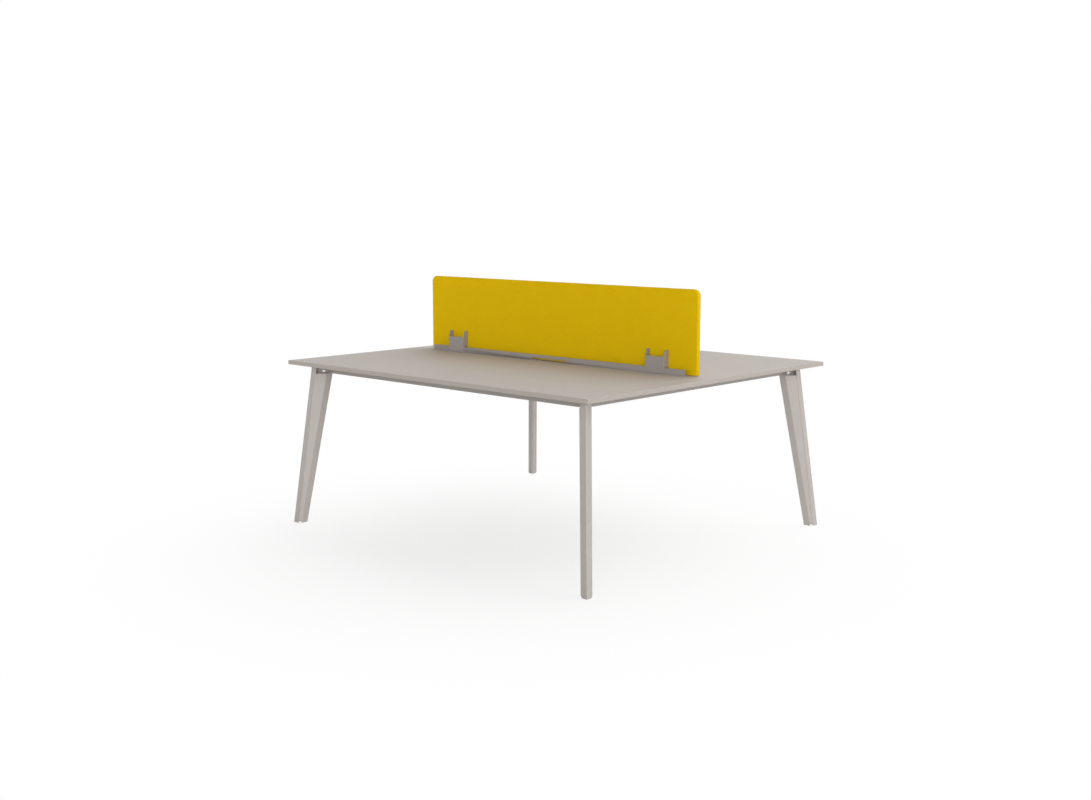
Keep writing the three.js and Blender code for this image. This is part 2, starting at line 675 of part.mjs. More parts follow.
// Clip on the front side: a plate before the strip, two ears folded back from it that rest on
// the strip's top edge, and a tab on each ear that is bolted to the screen.
function screenClip(middle, withNuts) {
  const plateTop = DESK_HEIGHT + CLIP_HEIGHT;
  const earTop = DESK_HEIGHT + CLIP_EAR_HEIGHT;
  const earBottom = STRIP_TOP + CLEARANCE;
  const earFront = -CLIP_FACE + CLIP_EAR_SETBACK;
  const ear = new THREE.Shape();
  ear.moveTo(-CLIP_FACE, earBottom);
  ear.lineTo(-TAB_BACK, earBottom);
  ear.lineTo(-TAB_BACK, earTop);
  ear.lineTo(earFront + CLIP_EAR_RADIUS, earTop);
  ear.quadraticCurveTo(earFront, earTop, earFront, earTop - CLIP_EAR_RADIUS);
  ear.lineTo(-CLIP_FACE, plateTop);
  const plate = block(
    [middle - CLIP_WIDTH / 2, -CLIP_FACE, DESK_HEIGHT + CLIP_FOOT],
    [middle + CLIP_WIDTH / 2, -CLIP_BACK, plateTop],
  );
  const wings = [-1, 1].flatMap((hand) => {
    const outer = middle + (hand * CLIP_WIDTH) / 2;
    const inner = outer - hand * SHEET;
    const tabEnd = inner - hand * TAB_WIDTH;
    const wing = alongX(ear, Math.min(outer, inner), Math.max(outer, inner));
    const tab = block(
      [Math.min(outer, tabEnd), -TAB_FRONT, DESK_HEIGHT + TAB_BOTTOM],
      [Math.max(outer, tabEnd), -TAB_BACK, DESK_HEIGHT + TAB_TOP],
    );
    const nut = barY(
      CLINCH_NUT_DIAMETER / 2,
      middle + hand * TAB_X,
      TAB_Z,
      -TAB_FRONT - CLINCH_NUT_HEIGHT,
      -TAB_FRONT + SHEET / 2,
      12,
    );
    return withNuts ? [wing, tab, nut] : [wing, tab];
  });
  const tabHoles = [middle - TAB_X, middle + TAB_X].map((x) =>
    barY(SCREEN_BOLT_DIAMETER / 2 + CLEARANCE, x, TAB_Z, -STRIP_FACE + 1, -SCREEN_FACE + 1, 12),
  );
  return cut(join(plate, ...wings), ...tabHoles);
}

for (const { side, turn } of SIDES) {
  const half = turnedGroup(0, 0, turn);
  piece(`${side}_screen_rail`, screenRail(), CLIP_STEEL, half);
  clipXs.forEach((middle) => {
    const end = middle < 0 === (side === "front") ? "left" : "right";
    piece(`${side}_${end}_clip`, screenClip(middle, side === "rear"), CLIP_STEEL, half);
  });
  stripScrewXs.forEach((x, index) => {
    const screw = screwDown(x, -STRIP_SCREW_Y, SCREEN_BASE, SHEET + SCREW_BITE);
    piece(`${side}_screen_rail_screw_${index + 1}`, screw, BRIGHT_STEEL, half);
  });
}

screenBoltXs.forEach((x, index) => {
  const radius = SCREEN_BOLT_DIAMETER / 2;
  const shank = barY(radius, x, TAB_Z, -TAB_FRONT - 1, TAB_FRONT + CLINCH_NUT_HEIGHT, 12);
  const head = barY(SCREEN_BOLT_HEAD / 2, x, TAB_Z, -TAB_FRONT - SCREEN_BOLT_HEAD_HEIGHT, -TAB_FRONT, 12);
  piece(`screen_bolt_${index + 1}`, join(shank, head), BRIGHT_STEEL);
});

// Cable tray: a trough under the joint of the tops, its flanges screwed under the centre rails.
function cableTray() {
  const half = TRAY_LENGTH / 2;
  const wallY = CENTRE_GAP / 2;
  const edge = wallY + TRAY_FLANGE;
  const floor = RAIL_BOTTOM - TRAY_DEPTH;
  const t = TRAY_WALL;
  const profile = [
    [-edge, RAIL_BOTTOM - t],
    [-wallY, RAIL_BOTTOM - t],
    [-wallY, floor],
    [wallY, floor],
    [wallY, RAIL_BOTTOM - t],
    [edge, RAIL_BOTTOM - t],
    [edge, RAIL_BOTTOM],
    [wallY - t, RAIL_BOTTOM],
    [wallY - t, floor + t],
    [-wallY + t, floor + t],
    [-wallY + t, RAIL_BOTTOM],
    [-edge, RAIL_BOTTOM],
  ];
  const holes = trayScrews.flatMap(([x, y]) =>
    [y, -y].map((holeY) => barZ(pilotRadius, x, holeY, RAIL_BOTTOM - t - 1, RAIL_BOTTOM + 1, 10)),
  );
  return cut(alongX(profile, -half, half), ...holes);
}

piece("cable_tray", cableTray(), RAIL_STEEL);
for (const { side, turn } of SIDES) {
  const half = turnedGroup(0, 0, turn);
  trayScrews.forEach(([x, y], index) => {
    const seat = RAIL_BOTTOM - TRAY_WALL;
    const screw = screwUp(x, y, seat, TRAY_WALL + RAIL_HEIGHT + SCREW_BITE);
    piece(`${side}_tray_screw_${index + 1}`, screw, BRIGHT_STEEL, half);
  });
}

export default desk;
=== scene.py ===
# Benching desk for two: two worktops back to back on one steel underframe with four folded legs,
# levelling feet, a cable tray, and a fabric screen held in clips over the joint of the tops.
# Metres, +Z up, origin on the floor under the middle; the front user sits on the -Y side.
import math

import bmesh
import bpy
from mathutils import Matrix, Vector


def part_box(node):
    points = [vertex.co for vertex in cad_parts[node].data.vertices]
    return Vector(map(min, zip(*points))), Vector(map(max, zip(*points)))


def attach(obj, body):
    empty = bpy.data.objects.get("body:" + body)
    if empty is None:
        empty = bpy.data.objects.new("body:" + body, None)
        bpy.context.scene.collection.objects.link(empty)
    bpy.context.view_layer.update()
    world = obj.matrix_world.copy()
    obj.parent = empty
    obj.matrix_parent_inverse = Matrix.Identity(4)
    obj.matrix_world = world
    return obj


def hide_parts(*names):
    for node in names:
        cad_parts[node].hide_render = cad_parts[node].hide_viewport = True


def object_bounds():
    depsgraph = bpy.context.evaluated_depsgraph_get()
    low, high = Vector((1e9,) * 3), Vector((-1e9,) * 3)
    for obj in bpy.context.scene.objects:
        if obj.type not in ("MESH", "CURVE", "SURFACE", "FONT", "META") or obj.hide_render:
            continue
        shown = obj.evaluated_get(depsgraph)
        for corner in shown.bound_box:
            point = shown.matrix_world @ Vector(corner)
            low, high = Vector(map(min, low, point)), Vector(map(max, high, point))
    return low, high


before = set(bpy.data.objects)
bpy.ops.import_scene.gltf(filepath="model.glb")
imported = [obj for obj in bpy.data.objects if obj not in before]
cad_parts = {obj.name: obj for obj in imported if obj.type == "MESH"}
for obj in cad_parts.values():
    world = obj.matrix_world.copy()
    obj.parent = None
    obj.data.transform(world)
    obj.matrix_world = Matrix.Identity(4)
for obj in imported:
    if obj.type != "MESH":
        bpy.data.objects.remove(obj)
cad_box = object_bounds()

# Rails of the underframe: six steel tubes of box section. Welded plates close the mitred ends of
# the outer four and clamp the legs, and saddles on the end rails carry the two centre rails.
# The welded frame is powder coated in a warm grey, darker than the legs: partly its own colour and
# partly painted shade from the worktop above.
MM = 0.001
RAIL_GREY_WITH_PAINTED_SHADE = (0.29, 0.265, 0.242)
RAILS = ("front_rail", "rear_rail", "left_rail", "right_rail", "front_centre_rail", "rear_centre_rail")
TUBE_RADIUS = 0.9 * MM
TUBE_SHORTEST = 0.5
TUBE_FACE = 10 * MM
WELDED_ARRIS = 0.5 * MM
SAME_POINT = 0.02 * MM
FLAT_WITHIN = math.radians(0.5)
SHARP_FROM = math.radians(20)
ARRIS_FROM = math.radians(40)
CREASE_FROM = math.radians(45)
SLIGHT_ANGLE = math.cos(math.radians(15))
ROUND_STEPS = 3


class Tap:
    """A socket in a node tree. Sums on taps add Math nodes, and node() adds any other node."""

    def __init__(self, tree, socket=None):
        self.tree = tree
        self.socket = socket

    def node(self, kind, settings=(), sockets=(), output=0):
        made = self.tree.nodes.new(kind)
        for key, value in dict(settings).items():
            setattr(made, key, value)
        for key, value in dict(sockets).items():
            named = [s for s in made.inputs if s.enabled and s.name == key]
            target = made.inputs[key] if isinstance(key, int) else named[0]
            for given in value if isinstance(value, list) else [value]:
                if isinstance(given, Tap):
                    self.tree.links.new(given.socket, target)
                else:
                    target.default_value = given
        return Tap(self.tree, made.outputs[output] if len(made.outputs) else None)

    def also(self, output):
        return Tap(self.tree, self.socket.node.outputs[output])

    def math(self, operation, *values):
        return self.node("ShaderNodeMath", {"operation": operation}, enumerate(values))

    def __add__(self, other):
        return self.math("ADD", self, other)

    def __sub__(self, other):
        return self.math("SUBTRACT", self, other)

    def __rsub__(self, other):
        return self.math("SUBTRACT", other, self)

    def __mul__(self, other):
        return self.math("MULTIPLY", self, other)

    def __truediv__(self, other):
        return self.math("DIVIDE", self, other)

    __radd__ = __add__
    __rmul__ = __mul__


def noise(place, scale, detail=2.0):
    return place.node("ShaderNodeTexNoise", {}, {"Vector": place, "Scale": scale, "Detail": detail})


def smooth(value, low, high):
    sockets = {"Value": value, "From Min": low, "From Max": high}
    return value.node("ShaderNodeMapRange", {"interpolation_type": "SMOOTHSTEP"}, sockets)


def tint(colour, gain=1.0):
    return (*(min(1.0, part * gain) for part in colour), 1.0)


def mixed(factor, low, high):
    colours = {"Factor": factor, "A": low, "B": high}
    return factor.node("ShaderNodeMix", {"data_type": "RGBA"}, colours, 2)


def raised(height, strength, depth):
    return height.node("ShaderNodeBump", {}, {"Height": height, "Strength": strength, "Distance": depth})


def new_finish(name):
    material = bpy.data.materials.new(name)
    material.use_nodes = True
    material.node_tree.nodes.clear()
    return material, Tap(material.node_tree)


def close_finish(tap, sockets):
    shader = tap.node("ShaderNodeBsdfPrincipled", {}, sockets)
    tap.node("ShaderNodeOutputMaterial", {}, {"Surface": shader})


def powder_coat(name, colour):
    material, tap = new_finish(name)
    place = tap.node("ShaderNodeTexCoord", output="Object")
    peel = noise(place, 380, 3)
    grain = noise(place, 1900)
    film = noise(place, 7, 3)
    edge = tap.node("ShaderNodeAttribute", {"attribute_name": "edge"}, output="Fac")
    rub = edge * smooth(noise(place, 55, 3), 0.4, 0.7)
    tone = 0.5 + (film - 0.5) * 0.8 + (grain - 0.5) * 0.6 + rub * 0.45
    close_finish(tap, {
        "Base Color": mixed(tone, tint(colour, 0.93), tint(colour, 1.07)),
        "Roughness": 0.42 + (film - 0.5) * 0.14 + (grain - 0.5) * 0.1 - rub * 0.1,
        "Normal": raised(peel + grain * 0.35, 0.25, 0.25 * MM),
    })
    return material


def settled(piece):
    graph = bpy.context.evaluated_depsgraph_get()
    mesh = bpy.data.meshes.new_from_object(piece.evaluated_get(graph))
    piece.modifiers.clear()
    piece.data = mesh
    return piece


def placed(name, mesh):
    piece = bpy.data.objects.new(name, mesh)
    bpy.context.scene.collection.objects.link(piece)
    return piece


def meshed(name, shape, finish):
    mesh = bpy.data.meshes.new(name)
    shape.to_mesh(mesh)
    shape.free()
    mesh.materials.append(finish)
    mesh.shade_smooth()
    return mesh


def fold_edges(shortest, narrowest):
    """Edges long enough to be a fold or a corner, between faces wider than the sheet is thick."""
    def is_fold(edge):
        length = edge.calc_length()
        return length > shortest and all(f.calc_area() / length > narrowest for f in edge.link_faces)
    return is_fold


def crowded(edge):
    """True where a join within a flat face leaves the edge's end at so slight an angle that
    there is no room to round the edge."""
    for corner in edge.verts:
        way = (edge.other_vert(corner).co - corner.co).normalized()
        for other in corner.link_edges:
            along = (other.other_vert(corner).co - corner.co).normalized().dot(way)
            if other is not edge and other.calc_face_angle(0) < FLAT_WITHIN and along > SLIGHT_ANGLE:
                return True
    return False


def convex(edge):
    return (len(edge.link_faces) == 2 and edge.is_convex and edge.calc_face_angle() > SHARP_FROM
            and not crowded(edge))


def rounded_copy(node, name, finish, is_fold, fold_radius, arris, first_work=None):
    """A copy of a solid with its facets merged, its folds rounded and its cut edges eased."""
    shape = bmesh.new()
    shape.from_mesh(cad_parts[node].data)
    bmesh.ops.remove_doubles(shape, verts=shape.verts, dist=SAME_POINT)
    bmesh.ops.dissolve_limit(shape, angle_limit=FLAT_WITHIN, verts=shape.verts, edges=shape.edges)
    mark = shape.faces.layers.float.new("edge")
    if first_work:
        first_work(shape)

    def ease(edges, offset):
        made = bmesh.ops.bevel(shape, geom=edges, offset=offset, offset_type="OFFSET", affect="EDGES",
                               segments=ROUND_STEPS, profile=0.5, clamp_overlap=True)
        for face in made["faces"]:
            face[mark] = 1.0

    folds = [e for e in shape.edges if convex(e) and is_fold(e)]
    turns = sorted({round(math.degrees(e.calc_face_angle())) for e in folds})
    for turn in turns:
        alike = [e for e in shape.edges if convex(e) and is_fold(e)
                 and round(math.degrees(e.calc_face_angle())) == turn]
        ease(alike, fold_radius * math.tan(math.radians(turn) / 2))
    bmesh.ops.remove_doubles(shape, verts=shape.verts, dist=SAME_POINT)
    ease([e for e in shape.edges if convex(e) and e.calc_face_angle() > ARRIS_FROM], arris)
    bmesh.ops.dissolve_degenerate(shape, dist=SAME_POINT, edges=shape.edges)
    mesh = meshed(name, shape, finish)
    mesh.set_sharp_from_angle(angle=CREASE_FROM)
    piece = placed(name, mesh)
    piece.modifiers.new("flat_faces", "WEIGHTED_NORMAL").keep_sharp = True
    return settled(piece)


def stand_for(piece, slot, *nodes, body="desk"):
    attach(piece, body)
    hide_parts(*nodes)


# The rail coat's grey is partly painted shade, standing in for the shadow under the worktop.
rail_coat = powder_coat("rail_coat", RAIL_GREY_WITH_PAINTED_SHADE)
tube_folds = fold_edges(TUBE_SHORTEST, TUBE_FACE)
for node in RAILS:
    tube = rounded_copy(node, node + "_tube", rail_coat, tube_folds, TUBE_RADIUS, WELDED_ARRIS)
    stand_for(tube, "frame_paint", node)

# Legs: each is a blade folded from steel sheet to a flattened hexagon, wide at the top and notched
# there for the rails. The sheet closes in a fine joint along one fold. A head plate is welded in
# its middle plane, a foot plate near the floor.
LEG_GREY = (0.382, 0.35, 0.328)
BLADE_FOLD = 2.4 * MM
BLADE_SHORTEST = 0.3
SHEET_FACE = 6 * MM
SHEET_ARRIS = 0.35 * MM
JOINT_HALF = 1.2 * MM
JOINT_DEPTH = 1.9 * MM
JOINT_DRAFT = 0.1 * MM
JOINT_SIDE = -70
JOINT_AIM = 0.99
CORNERS = {"front_left": -135, "front_right": -45, "rear_right": 45, "rear_left": 135}
blade_folds = fold_edges(BLADE_SHORTEST, SHEET_FACE)


def closing_joint(outward):
    """Cuts a groove along the fold beside the outer ridge, where the edges of the sheet meet."""
    side = math.radians(outward + JOINT_SIDE)
    way = Vector((math.cos(side), math.sin(side), 0))

    def cut(shape):
        shape.normal_update()
        fold = [e for e in shape.edges if convex(e) and blade_folds(e)
                and sum((f.normal for f in e.link_faces), Vector()).normalized().dot(way) > JOINT_AIM]
        strip = bmesh.ops.bevel(shape, geom=fold, offset=JOINT_HALF, offset_type="OFFSET",
                                affect="EDGES", segments=1, profile=0.5, clamp_overlap=True)["faces"]
        bmesh.ops.inset_region(shape, faces=strip, thickness=JOINT_DRAFT, depth=-JOINT_DEPTH)
    return cut


def no_folds(edge):
    return False


leg_coat = powder_coat("leg_coat", LEG_GREY)
for corner, outward in CORNERS.items():
    leg = corner + "_leg"
    blade = rounded_copy(leg, leg + "_blade", leg_coat, blade_folds, BLADE_FOLD, SHEET_ARRIS,
                         closing_joint(outward))
    stand_for(blade, "leg_paint", leg)
    for plate in (corner + "_head_plate", corner + "_foot_plate"):
        # Head and foot plates take the rail coat, whose darker grey is partly painted shade.
        steel = rounded_copy(plate, plate + "_steel", rail_coat, no_folds, WELDED_ARRIS, WELDED_ARRIS)
        stand_for(steel, "frame_paint", plate)

# Leg bolts and nuts: a button-head bolt with a hexagon socket clamps the two rail plates on the
# head plate of each leg, and a nut closes it on the other side. Zinc-plated steel.
ZINC = (0.66, 0.66, 0.645)
ZINC_YELLOW = (0.70, 0.67, 0.58)
LEG_BOLT = {"Head Diameter": 14.0, "Head Height": 5.0, "Recess Corners": 6, "Recess Width": 5.8,
            "Recess Waist": 1.0, "Shank Diameter": 8.0, "Thread Pitch": 1.25, "Thread Depth": 0.6,
            "Tip": 1.0}
SHANK_START = 0.5
SHANK_SIDES = 20
TURN_STEPS = 6
TIP_WIDTH = 0.5
DOME_SIDES, DOME_RINGS = 28, 16
DOME_POWER = 0.6
RECESS_DEPTH = 1.1
FINE_CREASE = math.radians(38)
NUT_ARRIS = 0.7 * MM
BOLT_AXES = {"front_left": (-1, 1, 0), "front_right": (-1, -1, 0), "rear_right": (1, -1, 0),
             "rear_left": (1, 1, 0)}


def zinc_plate(name):
    material, tap = new_finish(name)
    place = tap.node("ShaderNodeTexCoord", output="Object")
    bloom = noise(place, 160, 3)
    grain = noise(place, 2600)
    close_finish(tap, {
        "Base Color": mixed(smooth(bloom, 0.4, 0.75), tint(ZINC), tint(ZINC_YELLOW)),
        "Metallic": 1.0,
        "Roughness": 0.3 + (bloom - 0.5) * 0.2 + (grain - 0.5) * 0.12,
        "Normal": raised(grain, 0.15, 0.06 * MM),
    })
    return material


def new_tree(name, sizes):
    tree = bpy.data.node_groups.new(name, "GeometryNodeTree")
    tree.interface.new_socket("Geometry", in_out="INPUT", socket_type="NodeSocketGeometry")
    for label, value in sizes.items():
        kind = "NodeSocketInt" if isinstance(value, int) else "NodeSocketFloat"
        tree.interface.new_socket(label, in_out="INPUT", socket_type=kind).default_value = value
    tree.interface.new_socket("Finish", in_out="INPUT", socket_type="NodeSocketMaterial")
    tree.interface.new_socket("Geometry", in_out="OUTPUT", socket_type="NodeSocketGeometry")
    given = tree.nodes.new("NodeGroupInput")
    return tree, {socket.name: Tap(tree, socket) for socket in given.outputs if socket.name}


def close_tree(points, shape, aim, finish):
    """Ends a tree with a shape, drawn in millimetres, on each point."""
    spread = points.node("GeometryNodeInstanceOnPoints", {}, {
        "Points": points, "Instance": shape, "Rotation": aim, "Scale": (MM, MM, MM)})
    real = points.node("GeometryNodeRealizeInstances", {}, {"Geometry": spread})
    dressed = points.node("GeometryNodeSetMaterial", {}, {"Geometry": real, "Material": finish})
    points.node("NodeGroupOutput", {}, {"Geometry": dressed})


def moved(shape, x, y, z):
    place = shape.node("ShaderNodeCombineXYZ", {}, {"X": x, "Y": y, "Z": z})
    return shape.node("GeometryNodeSetPosition", {}, {"Geometry": shape, "Position": place})


def fastener_tree():
    """A screw or bolt in millimetres on each point, its shank along the point's axis attribute."""
    sizes = {**LEG_BOLT, "Shank Length": 20.0}
    tree, given = new_tree("fasteners", sizes)
    tap = Tap(tree)
    xyz = tap.node("ShaderNodeSeparateXYZ", {}, {"Vector": tap.node("GeometryNodeInputPosition")})
    x, y, z = xyz, xyz.also("Y"), xyz.also("Z")
    length, pitch = given["Shank Length"], given["Thread Pitch"]
    radius = given["Shank Diameter"] / 2
    # Shank: a bar that starts inside the head. Its radius follows the thread's helix and falls
    # away at the tip.
    bar = tap.node("GeometryNodeMeshCylinder", {}, {
        "Vertices": SHANK_SIDES, "Side Segments": length / pitch * TURN_STEPS, "Radius": radius,
        "Depth": length})
    along = z + length / 2
    turn = tap.math("ARCTAN2", y, x) / math.tau
    crest = tap.math("PINGPONG", along / pitch - turn, 0.5) * 2
    taper = tap.math("MINIMUM", (length - along) / given["Tip"], 1.0)
    tip = tap.math("MULTIPLY_ADD", taper, 1 - TIP_WIDTH, TIP_WIDTH)
    reach = (1 - (1 - crest) * given["Thread Depth"] / radius) * tip
    shank = moved(bar, x * reach, y * reach, along + (along / length - 1) * SHANK_START)
    # Head: a dome on a flat seat, with a key recess of a few corners sunk in its crown.
    ball = tap.node("GeometryNodeMeshUVSphere", {}, {
        "Segments": DOME_SIDES, "Rings": DOME_RINGS, "Radius": 1.0})
    crown = tap.math("POWER", tap.math("MAXIMUM", 0 - z, 0.0), DOME_POWER) * given["Head Height"]
    half = given["Head Diameter"] / 2
    head = moved(ball, x * half, y * half, 0 - crown)
    key = tap.node("GeometryNodeMeshCylinder", {}, {
        "Vertices": given["Recess Corners"], "Radius": given["Recess Width"] / 2,
        "Depth": given["Head Height"] * RECESS_DEPTH})
    odd = tap.math("MODULO", tap.node("GeometryNodeInputIndex"), 2.0)
    waist = 1 - odd * (1 - given["Recess Waist"])
    recess = moved(key, x * waist, y * waist, z - given["Head Height"])
    whole = tap.node("GeometryNodeMeshBoolean", {"operation": "UNION"}, {1: [head, shank]})
    cut = tap.node("GeometryNodeMeshBoolean", {"operation": "DIFFERENCE"}, {0: whole, 1: recess})
    clean = tap.node("GeometryNodeMergeByDistance", {}, {"Geometry": cut, "Distance": SAME_POINT / MM})
    axis = tap.node("GeometryNodeInputNamedAttribute", {"data_type": "FLOAT_VECTOR"}, {"Name": "axis"})
    aim = tap.node("FunctionNodeAlignRotationToVector", {"axis": "Z"}, {"Vector": axis})
    close_tree(given["Geometry"], clean, aim, given["Finish"])
    return tree


def grown(name, start, tree, values):
    """Runs a tree on a mesh and keeps the result as a plain mesh."""
    piece = placed(name, start)
    modifier = piece.modifiers.new("tree", "NODES")
    modifier.node_group = tree
    for item in tree.interface.items_tree:
        if item.in_out == "INPUT" and item.name in values:
            modifier[item.identifier] = values[item.name]
    settled(piece)
    piece.data.shade_smooth()
    piece.data.set_sharp_from_angle(angle=FINE_CREASE)
    return piece


def seat_of(node, axis, head_height):
    """Where a fastener's head seats, and the length of its shank, from its solid."""
    axis = Vector(axis).normalized()
    corners = [v.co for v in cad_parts[node].data.vertices]
    reach = [corner.dot(axis) for corner in corners]
    tip = [c for c, r in zip(corners, reach) if r > max(reach) - SAME_POINT]
    middle = Vector([(min(c[i] for c in tip) + max(c[i] for c in tip)) / 2 for i in range(3)])
    length = max(reach) - min(reach) - head_height * MM
    return middle - axis * length, axis, length / MM


fasteners = fastener_tree()


def fasten(name, nodes, axes, sizes, finish):
    seats = [seat_of(node, axis, sizes["Head Height"]) for node, axis in zip(nodes, axes)]
    points = bpy.data.meshes.new(name)
    points.from_pydata([seat for seat, axis, length in seats], [], [])
    turned = points.attributes.new("axis", "FLOAT_VECTOR", "POINT")
    turned.data.foreach_set("vector", [part for seat, axis, length in seats for part in axis])
    return grown(name, points, fasteners, {**sizes, "Shank Length": seats[0][2], "Finish": finish})


zinc = zinc_plate("zinc_plate")
bolts = [corner + "_leg_bolt" for corner in CORNERS]
leg_bolts = fasten("leg_bolts", bolts, [BOLT_AXES[corner] for corner in CORNERS], LEG_BOLT, zinc)
stand_for(leg_bolts, "bright_steel", *bolts)
for corner in CORNERS:
    node = corner + "_leg_nut"
    nut = rounded_copy(node, node + "_zinc", zinc, no_folds, NUT_ARRIS, NUT_ARRIS)
    stand_for(nut, "bright_steel", node)

# Levelling feet: a moulded pad with a ribbed rim, to turn by hand, on a threaded steel stem that
# runs in the foot plate. The desk is raised by turning them out, up to 12 mm each.
PAD_WHITE = (0.78, 0.765, 0.735)
PAD_RIBS = 36
RIB_DEPTH = 0.5
PAD_PROFILE = ((0, 0.8), (10.6, 0.8), (11.4, 0), (15.4, 0), (16.4, 0.5), (17.0, 1.4), (17.0, 7.2),
               (16.4, 8.1), (15.0, 8.7), (12.0, 8.9), (0, 8.9))
RIBBED_RINGS = (5, 6)
STEM = {**LEG_BOLT, "Head Diameter": 12.0, "Head Height": 3.0, "Recess Width": 4.0}


def moulded_plastic(name, colour):
    material, tap = new_finish(name)
    place = tap.node("ShaderNodeTexCoord", output="Object")
    grain = noise(place, 2200)
    cloud = noise(place, 60, 3)
    height = tap.node("ShaderNodeSeparateXYZ", {}, {"Vector": place}).also("Z")
    scuff = (1 - smooth(height, 0.0, 2.5 * MM)) * smooth(noise(place, 420, 3), 0.4, 0.65)
    tone = 0.5 + (cloud - 0.5) * 0.7 + (grain - 0.5) * 0.4 - scuff * 0.9
    close_finish(tap, {
        "Base Color": mixed(tone, tint(colour, 0.9), tint(colour, 1.05)),
        "Roughness": 0.46 + (grain - 0.5) * 0.16 + scuff * 0.2,
        "Normal": raised(grain, 0.2, 0.12 * MM),
    })
    return material


def turned_pad(name, middle, finish):
    sides = PAD_RIBS * 2
    shape = bmesh.new()
    rings = []
    for ring, (radius, height) in enumerate(PAD_PROFILE):
        count = sides if radius else 1
        row = []
        for step in range(count):
            angle = math.tau * step / sides
            reach = radius - (RIB_DEPTH if ring in RIBBED_RINGS and step % 2 else 0)
            offset = Vector((reach * math.cos(angle), reach * math.sin(angle), height)) * MM
            row.append(shape.verts.new(middle + offset))
        rings.append(row)
    for low, high in zip(rings, rings[1:]):
        for step in range(sides):
            after = (step + 1) % sides
            quad = (low[step % len(low)], low[after % len(low)],
                    high[after % len(high)], high[step % len(high)])
            shape.faces.new(list(dict.fromkeys(quad)))
    bmesh.ops.recalc_face_normals(shape, faces=shape.faces)
    mesh = meshed(name, shape, finish)
    mesh.set_sharp_from_angle(angle=FINE_CREASE)
    return placed(name, mesh)


pale_plastic = moulded_plastic("pale_plastic", PAD_WHITE)
for corner in CORNERS:
    foot = corner + "_levelling_foot"
    low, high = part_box(foot)
    middle = Vector(((low.x + high.x) / 2, (low.y + high.y) / 2, low.z))
    pad = turned_pad(foot + "_pad", middle, pale_plastic)
    stand_for(pad, "foot_plastic", foot, body=corner + "_foot")
    stem = fasten(foot + "_stem", [foot], [(0, 0, 1)], STEM, zinc)
    stand_for(stem, "bright_steel", foot, body=corner + "_foot")

# Worktops: 18 mm boards faced with a warm grey laminate, butted under the screen, with a cable
# slot cut in the inner edge of each. They lie on the rails and are screwed from below.
LAMINATE_GREY = (0.433, 0.396, 0.371)
BOARD_ARRIS = 0.25 * MM


def laminate(name, colour):
    material, tap = new_finish(name)
    place = tap.node("ShaderNodeTexCoord", output="Object")
    pores = noise(place, 1300, 3)
    fleck = noise(place, 420, 4)
    cloud = noise(place, 5, 3)
    tone = 0.5 + (pores - 0.5) * 0.5 + (fleck - 0.5) * 0.6 + (cloud - 0.5) * 0.35
    close_finish(tap, {
        "Base Color": mixed(tone, tint(colour, 0.95), tint(colour, 1.05)),
        "Roughness": 0.58 + (cloud - 0.5) * 0.12 + (pores - 0.5) * 0.14,
        "Specular IOR Level": 0.2,
        "Normal": raised(pores + fleck * 0.5, 0.18, 0.15 * MM),
    })
    return material


warm_laminate = laminate("warm_laminate", LAMINATE_GREY)
for side in ("front", "rear"):
    top = side + "_worktop"
    board = rounded_copy(top, top + "_board", warm_laminate, no_folds, BOARD_ARRIS, BOARD_ARRIS)
    stand_for(board, "worktop_laminate", top)

# Edge bands: 2 mm plastic strip glued round the three outer edges of each board and trimmed with
# a small radius. Drawn out lengthways, so its faint lines run along the edge.
BAND_GREY = (0.366, 0.331, 0.301)
BAND_RADIUS = 1.1 * MM
GLUE_LINE = 0.15 * MM
AT_SKIN = 0.1 * MM


def drawn_band(name, colour):
    material, tap = new_finish(name)
    place = tap.node("ShaderNodeTexCoord", output="Object")
    stretched = tap.node("ShaderNodeMapping", {}, {"Vector": place, "Scale": (6, 6, 1800)})
    lines = noise(stretched, 1.0, 3)
    cloud = noise(place, 9, 3)
    tone = 0.5 + (lines - 0.5) * 0.6 + (cloud - 0.5) * 0.4
    close_finish(tap, {
        "Base Color": mixed(tone, tint(colour, 0.95), tint(colour, 1.05)),
        "Roughness": 0.48 + (lines - 0.5) * 0.2,
        "Specular IOR Level": 0.3,
        "Normal": raised(lines, 0.2, 0.1 * MM),
    })
    return material


def on_outer_skin(edge):
    middle = (edge.verts[0].co + edge.verts[1].co) / 2
    low, high = cad_box
    gaps = (middle.x - low.x, high.x - middle.x, middle.y - low.y, high.y - middle.y)
    return min(gaps) < AT_SKIN and edge.calc_length() > 2 * BAND_RADIUS


band_plastic = drawn_band("band_plastic", BAND_GREY)
for side in ("front", "rear"):
    band = rounded_copy(side + "_edge_band", side + "_edge_band_strip", band_plastic, on_outer_skin,
                        BAND_RADIUS, GLUE_LINE)
    stand_for(band, "edge_band", side + "_edge_band")

# Screws under the tops: pan-head screws with a cross recess. Two hold each top to its outer rail;
# two longer ones come up through the cable tray and the centre rail.
WOOD_SCREW = {"Head Diameter": 9.0, "Head Height": 3.0, "Recess Corners": 8, "Recess Width": 5.2,
              "Recess Waist": 0.36, "Shank Diameter": 4.5, "Thread Pitch": 1.8, "Thread Depth": 0.7,
              "Tip": 4.0}
for group in ("worktop_screw", "tray_screw"):
    screws = [f"{side}_{group}_{number}" for side in ("front", "rear") for number in (1, 2)]
    driven = fasten(group + "s", screws, [(0, 0, 1)] * len(screws), WOOD_SCREW, zinc)
    stand_for(driven, "bright_steel", *screws)

# Cable tray: a trough folded from 1.5 mm sheet under the joint of the tops. Its flanges are
# screwed under the centre rails, and cables drop into it through the slots.
TRAY_FOLD = 1.3 * MM
TRAY_SHORTEST = 0.5
THIN_ARRIS = 0.25 * MM
